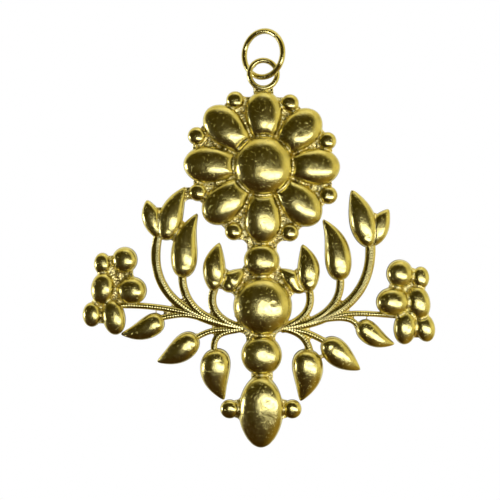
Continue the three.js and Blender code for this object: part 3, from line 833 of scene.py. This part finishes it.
def solder_piece():
    """Solder that has run into every joint of the ornament, down to a flat back."""
    across, upward, levels, owner, names = foremost()
    solder = solder_levels(across, upward, levels, owner, names)
    shown = solder > np.maximum(levels, 0) + least_cover
    kept = shown.copy()
    top = np.where(shown, solder, bare)
    around = [step for step in disc(neighbour_reach * cell) if step != (0, 0)]
    for sink in solder_sinks:
        spread = np.maximum.reduce([shifted(top, *step) for step in around])
        fresh = ~kept & (spread > 0) & (levels > 0)
        top = np.where(fresh, np.minimum(spread, levels - sink), top)
        kept |= fresh
    spots = np.argwhere(kept)
    number = np.full(kept.shape, -1)
    number[tuple(spots.T)] = np.arange(len(spots))
    corners = [number[:-1, :-1], number[1:, :-1], number[1:, 1:], number[:-1, 1:]]
    quads = np.stack([corner.ravel() for corner in corners], axis=1)
    quads = quads[(quads >= 0).all(axis=1)]
    used = np.unique(quads)
    renumber = np.full(len(spots), -1)
    renumber[used] = np.arange(len(used))
    quads = renumber[quads]
    spots = spots[used]
    flat = np.stack([across[spots[:, 0]], upward[spots[:, 1]]], axis=1)
    height = top[tuple(spots.T)]
    inward = inner_distance(shown) / rim_round[0]
    roughened = np.clip(inward, 0, 1)[tuple(spots.T)]
    for size, depth in solder_grain:
        height = height + roughened * depth * wave(*flat.T, size * grain_seed, size)
    count = len(flat)
    sides = ((0, 1), (1, 2), (2, 3), (3, 0))
    edges = dict.fromkeys((first, second) for side in sides for first, second in quads[:, side])
    rim = [(first, second) for first, second in edges if (second, first) not in edges]
    smoothed = flat.copy()
    for _ in range(rim_smoothings):
        total = np.zeros_like(flat)
        share = np.zeros(count)
        for first, second in rim:
            total[first] += smoothed[second]
            total[second] += smoothed[first]
            share[first] += 1
            share[second] += 1
        touched = share > 0
        smoothed[touched] = 0.5 * smoothed[touched] + 0.5 * total[touched] / share[touched, None]
    height = np.maximum(height, solder_back + least_thickness)
    points = np.vstack([
        np.column_stack([smoothed, height]),
        np.column_stack([smoothed, np.full(count, solder_back)]),
    ])
    faces = [tuple(quad) for quad in quads.tolist()]
    faces += [tuple(count + corner for corner in reversed(quad)) for quad in quads.tolist()]
    faces += [(int(second), int(first), int(first) + count, int(second) + count) for first, second in rim]
    piece("solder", points, faces, "ornament", "soldered_back", solder_gold)


# Materials

class Shader:
    """A node material under construction."""

    def __init__(self, name):
        self.material = bpy.data.materials.new(name)
        self.material.use_nodes = True
        self.tree = self.material.node_tree
        self.surface = self.tree.nodes["Principled BSDF"]
        self.place = self.add("ShaderNodeTexCoord").outputs["Object"]

    def add(self, kind, **settings):
        node = self.tree.nodes.new(kind)
        for name, value in settings.items():
            setattr(node, name, value)
        return node

    def link(self, source, target):
        self.tree.links.new(source, target)

    def grain(self, size, detail=3.0, stretch=None):
        """Noise with features this many millimetres across, drawn into lines where stretched."""
        source = self.place
        if stretch:
            mapping = self.add("ShaderNodeMapping")
            mapping.inputs["Scale"].default_value = stretch
            mapping.inputs["Rotation"].default_value = line_turn
            self.link(self.place, mapping.inputs["Vector"])
            source = mapping.outputs["Vector"]
        node = self.add("ShaderNodeTexNoise")
        node.inputs["Scale"].default_value = 1 / (size * mm)
        node.inputs["Detail"].default_value = detail
        self.link(source, node.inputs["Vector"])
        return node.outputs["Fac"]

    def spread(self, source, low, high, start=0.35, end=0.65, **settings):
        """The source stretched so that it runs from one number to another between start and end."""
        node = self.add("ShaderNodeMapRange", **settings)
        for name, value in (("From Min", start), ("From Max", end), ("To Min", low), ("To Max", high)):
            node.inputs[name].default_value = value
        self.link(source, node.inputs["Value"])
        return node.outputs["Result"]

    def fade(self, source, start, end, low, high):
        """A smooth step from one number to another between two values of the source."""
        if start > end:
            start, end, low, high = end, start, high, low
        return self.spread(source, low, high, start, end, interpolation_type="SMOOTHSTEP")

    def join(self, operation, first, second=None):
        """A number worked out from one or two others. The second may be a plain value."""
        node = self.add("ShaderNodeMath", operation=operation)
        self.link(first, node.inputs[0])
        if isinstance(second, float):
            node.inputs[1].default_value = second
        elif second is not None:
            self.link(second, node.inputs[1])
        return node.outputs["Value"]

    def scaled(self, source, factor, shift):
        """The number times a factor, plus a shift."""
        node = self.add("ShaderNodeMath", operation="MULTIPLY_ADD")
        self.link(source, node.inputs[0])
        node.inputs[1].default_value = factor
        node.inputs[2].default_value = shift
        return node.outputs["Value"]

    def times(self, first, second):
        return self.join("MULTIPLY", first, second)

    def most(self, first, second):
        return self.join("MAXIMUM", first, second)

    def blend(self, share, first, second):
        """The first colour where the share is nought, and the second where it is 1."""
        node = self.add("ShaderNodeMix", data_type="RGBA")
        self.link(share, node.inputs["Factor"])
        for value, socket in ((first, node.inputs["A"]), (second, node.inputs["B"])):
            if isinstance(value, tuple):
                socket.default_value = (*value, 1)
            else:
                self.link(value, socket)
        return node.outputs["Result"]

    def vector(self, operation, source):
        node = self.add("ShaderNodeVectorMath", operation=operation)
        self.link(source, node.inputs[0])
        return node

    def parts(self, source):
        """The three numbers of a vector, by axis."""
        node = self.add("ShaderNodeSeparateXYZ")
        self.link(source, node.inputs["Vector"])
        return node.outputs

    def bump(self, height, depth, before=None):
        """A bump this many millimetres deep, on top of an earlier one."""
        node = self.add("ShaderNodeBump")
        node.inputs["Distance"].default_value = depth * mm
        self.link(height, node.inputs["Height"])
        if before is not None:
            self.link(before, node.inputs["Normal"])
        return node.outputs["Normal"]

    def show(self, share, first, second):
        """Make the surface out of two shaders, the first where the share is nought."""
        mix = self.add("ShaderNodeMixShader")
        self.link(share, mix.inputs["Fac"])
        self.link(first, mix.inputs[1])
        self.link(second, mix.inputs[2])
        self.link(mix.outputs["Shader"], self.tree.nodes["Material Output"].inputs["Surface"])


def gold(name, light, deep, rough, waves, pits):
    """Gilt metal: drifting tones, uneven polish, hammered waves, pits, specks and polishing lines."""
    shader = Shader(name)
    surface = shader.surface
    surface.inputs["Metallic"].default_value = 1
    drift = shader.spread(shader.grain(tone_grain), 0, 1)
    shader.link(shader.blend(drift, light, deep), surface.inputs["Base Color"])
    polish = shader.spread(shader.grain(polish_grain), rough[0], rough[1])
    shader.link(polish, surface.inputs["Roughness"])
    hammered = shader.bump(shader.grain(hammer_grain, detail=2.0), waves)
    pitted = shader.bump(shader.grain(pit_grain, detail=4.0), pits, hammered)
    specks = shader.spread(shader.grain(speck_grain, detail=1.0), 0, 1, *speck_limits)
    speckled = shader.bump(specks, speck_depth * pits, pitted)
    lines = shader.grain(line_grain, detail=2.0, stretch=line_stretch)
    shader.link(shader.bump(lines, line_depth, speckled), surface.inputs["Normal"])
    return shader.material


# The metals: two tones, the range of their roughness, and the depths of waves and pits
satin_gold = gold("satin_gold", (0.76, 0.675, 0.275), (0.7, 0.605, 0.22), (0.18, 0.26), 0.02, 0.008)
polished_gold = gold("polished_gold", (0.79, 0.7, 0.3), (0.72, 0.62, 0.24), (0.14, 0.24), 0.012, 0.006)
milled_gold = gold("milled_gold", (0.86, 0.78, 0.38), (0.74, 0.64, 0.26), (0.12, 0.2), 0.008, 0.003)
solder_gold = gold("solder_gold", (1.0, 0.91, 0.45), (1.0, 0.85, 0.36), (0.16, 0.34), 0.05, 0.055)
plate_gold = gold("plate_gold", (0.72, 0.61, 0.24), (0.58, 0.47, 0.16), (0.28, 0.42), 0.01, 0.006)


# Dressing the frame

def dress_crowns():
    """Every dome, petal, leaf, berry and bead."""
    singles = ("flower_centre_dome", "neck_dome", "middle_dome", "lower_dome", "drop")
    for node in nodes:
        polished = node.startswith(("flower_bead_", "drop_bead_"))
        leaf = node.startswith("leaf_")
        if not (polished or leaf or node in singles or node.startswith(("petal_", "berry_"))):
            continue
        base = 0.0 if leaf else plate_level
        fine = node in dents
        spacing = fine_spacing if fine or polished else outline_spacing
        rows = fine_crown_rows if fine else crown_rows
        rising = leaf and node not in domed_leaves
        points, faces = crowned_piece(node, base, wall_level, spacing, rows, rising)
        name = f"{node}_ball" if polished else f"{node}_skin"
        look = ("polished_gold", polished_gold) if polished else ("satin_gold", satin_gold)
        piece(name, points, faces, body_of[node], *look, [node])


def dress_stems():
    """The stems of both sprays, whose backs step forward so that no two lie in one plane."""
    middle, half = middle_and_half("middle_dome")
    for side, stems, angle in (("left", left_stems, 180 + root_angle), ("right", right_stems, -root_angle)):
        routes = stem_routes(stems, middle + half[0] * heading(angle))
        for order, (name, route) in enumerate(routes.items(), 1):
            points, faces = stem_mesh(route, stems[name]["width"], order * stem_back_step)
            node = f"stems_{side}"
            made = piece(f"stem_{side}_{name}", points, faces, body_of[node], "satin_gold", milled_gold)
            if name == "outer":
                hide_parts(node)


def dress_rings():
    """The jump ring, whose turn follows from its node's box, and the bail ring."""
    low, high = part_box("jump_ring")
    reach = (high.z - low.z) / mm - jump_wire
    places = vertex_places("jump_ring")
    lean = np.sign(np.sum(places[:, 0] * places[:, 1]))
    turn = lean * math.acos(((high.x - low.x) / mm - jump_wire) / reach)
    points, faces = ring_mesh("jump_ring", turn, jump_wire, seam_angle)
    piece("jump_ring_wire", points, faces, "jump_ring", "polished_gold", polished_gold, ["jump_ring"])
    points, faces = ring_mesh("bail_ring", 0.0, bail_wire)
    piece("bail_ring_wire", points, faces, "ornament", "polished_gold", polished_gold, ["bail_ring"])


def dress_plates():
    """The back plates stay the frame's own, with their edges rounded."""
    for node in plates:
        plate = nodes[node]
        plate.data.materials.clear()
        plate.data.materials.append(plate_gold)
        bevel = plate.modifiers.new("rounded_edge", "BEVEL")
        bevel.width = plate_rounding * mm
        bevel.segments = 2


# Studio

def add_camera():
    data = bpy.data.cameras.new("camera")
    data.lens = lens
    data.sensor_width = sensor
    data.clip_start = clip_start
    camera = bpy.data.objects.new("camera", data)
    distance = view_width / 2 / (sensor / 2 / lens)
    camera.location = (view_middle[0], back_y - view_front - distance, view_middle[1])
    camera.rotation_euler = (math.pi / 2, 0, 0)
    bpy.context.scene.collection.objects.link(camera)
    bpy.context.scene.camera = camera


def add_lamp(name, place, size, radiance):
    """A soft rectangular lamp, whose power follows from its size and how bright its face is."""
    data = bpy.data.lights.new(name, "AREA")
    data.shape = "RECTANGLE"
    data.size, data.size_y = size
    data.energy = radiance * math.pi * size[0] * size[1]
    lamp = bpy.data.objects.new(name, data)
    lamp.visible_camera = False
    lamp.location = place
    lamp.rotation_euler = (Vector(studio_centre) - Vector(place)).to_track_quat("-Z", "Y").to_euler()
    bpy.context.scene.collection.objects.link(lamp)
    return lamp


def add_world():
    """White all round, weaker for diffuse light than where it is seen or mirrored."""
    world = bpy.data.worlds.new("studio")
    world.use_nodes = True
    tree = world.node_tree
    background = tree.nodes["Background"]
    background.inputs["Color"].default_value = (1, 1, 1, 1)
    path = tree.nodes.new("ShaderNodeLightPath")
    seen = path.outputs["Is Camera Ray"]
    for name in ("Is Glossy Ray", "Is Transmission Ray"):
        join = tree.nodes.new("ShaderNodeMath")
        join.operation = "MAXIMUM"
        tree.links.new(seen, join.inputs[0])
        tree.links.new(path.outputs[name], join.inputs[1])
        seen = join.outputs["Value"]
    strength = tree.nodes.new("ShaderNodeMapRange")
    strength.inputs["To Min"].default_value, strength.inputs["To Max"].default_value = world_strengths
    tree.links.new(seen, strength.inputs["Value"])
    tree.links.new(strength.outputs["Result"], background.inputs["Strength"])
    bpy.context.scene.world = world


def add_floor():
    """A pale disc under the hanging pendant, which fades into the white background at its edge."""
    level = cad_low.z - floor_drop
    points = [(0, 0, level)]
    for side in range(floor_sides):
        angle = 2 * math.pi * side / floor_sides
        points.append((floor_radius * math.cos(angle), floor_radius * math.sin(angle), level))
    faces = [(0, 1 + side, 1 + (side + 1) % floor_sides) for side in range(floor_sides)]
    shader = Shader("floor")
    surface = shader.surface
    surface.inputs["Base Color"].default_value = (*floor_tone, 1)
    surface.inputs["Roughness"].default_value = floor_rough
    place = shader.parts(shader.place)
    flat = shader.add("ShaderNodeCombineXYZ")
    for axis in "XY":
        shader.link(place[axis], flat.inputs[axis])
    away = shader.vector("LENGTH", flat.outputs["Vector"]).outputs["Value"]
    fade = shader.spread(away, 0, 1, *(share * floor_radius for share in floor_fade))
    glow = shader.add("ShaderNodeEmission")
    shader.show(fade, surface.outputs["BSDF"], glow.outputs["Emission"])
    floor = solid("floor", points, faces, shader.material)


def add_reflection_tent():
    """A cloudy glowing shell, not a lamp, that only reflections show and that paints them into the metal:
    dark ahead, below and behind, a glowing cream card to the right and above, and open to the white
    surround at the left and in a band round the sides."""
    points = []
    for ring in range(tent_rings + 1):
        tilt = math.pi * ring / tent_rings
        for side in range(tent_sides):
            turn = 2 * math.pi * side / tent_sides
            spot = (math.sin(tilt) * math.cos(turn), math.sin(tilt) * math.sin(turn), math.cos(tilt))
            points.append([tent_radius * value for value in spot])
            points[-1][2] = max(points[-1][2], tent_bottom)
    faces = tube(range(0, len(points), tent_sides), tent_sides)
    shader = Shader("tent")
    shader.tree.nodes.remove(shader.surface)
    way = shader.vector("NORMALIZE", shader.place).outputs["Vector"]
    right, back, up = (shader.parts(way)[axis] for axis in "XYZ")
    # A surface mirrors this way to the viewer in front if its slope lies halfway between the two
    halfway = shader.vector("ADD", way)
    halfway.inputs[1].default_value = (0, -1, 0)
    slope = shader.parts(shader.vector("NORMALIZE", halfway.outputs["Vector"]).outputs["Vector"])
    leaning = shader.scaled(slope["X"], 1 / tent_reach[0], -tent_heart / tent_reach[0])
    rising = shader.most(shader.scaled(slope["Z"], 1 / tent_reach[1], 0), tent_least_rise)
    squares = shader.join("ADD", shader.times(leaning, leaning), shader.times(rising, rising))
    dark = shader.fade(shader.join("SQRT", squares), *tent_edge, 1, 0)
    from_left = shader.fade(slope["X"], *tent_left, 1, 0)
    ahead = shader.times(from_left, shader.fade(back, *tent_back, 1, 0))
    below = shader.times(shader.fade(up, *tent_low, 0, 1), shader.fade(back, *tent_low_back, 1, 0))
    behind = shader.fade(back, *tent_behind, 0, 1)
    closed = shader.most(shader.most(ahead, below), behind)
    # Painted reflections: the glow's colours stand in for a shaded low band, brown at the left and gold at
    # the right, a dark olive room ahead, and a lit cream card
    painted_low_reflection = shader.blend(shader.fade(right, *tent_warm, 0, 1), painted_brown_reflection, painted_gold_reflection)
    painted_dark_reflection = shader.blend(shader.fade(up, *tent_low, 0, 1), painted_olive_reflection, painted_low_reflection)
    tone = shader.blend(shader.most(dark, shader.most(below, behind)), painted_cream_reflection, painted_dark_reflection)
    glow = shader.add("ShaderNodeEmission")
    shader.link(tone, glow.inputs["Color"])
    shader.link(shader.spread(shader.grain(tent_clouds), *tent_glow_range), glow.inputs["Strength"])
    clear = shader.add("ShaderNodeBsdfTransparent")
    shader.show(closed, clear.outputs["BSDF"], glow.outputs["Emission"])
    tent = solid("tent", points, faces, shader.material)
    tent.location = studio_centre
    tent.visible_camera = False
    tent.visible_diffuse = False
    tent.visible_shadow = False
    tent.visible_transmission = False


def add_studio():
    add_reflection_tent()
    for name, (place, size, radiance) in lamps.items():
        lamp = add_lamp(name, place, size, radiance)
        if name == "window_lamp":
            lamp.rotation_euler.rotate_axis("Z", window_tilt)


dress_crowns()
dress_stems()
dress_rings()
dress_plates()
solder_piece()
add_camera()
add_world()
add_floor()
add_studio()

bpy.context.scene.view_settings.view_transform = "Standard"
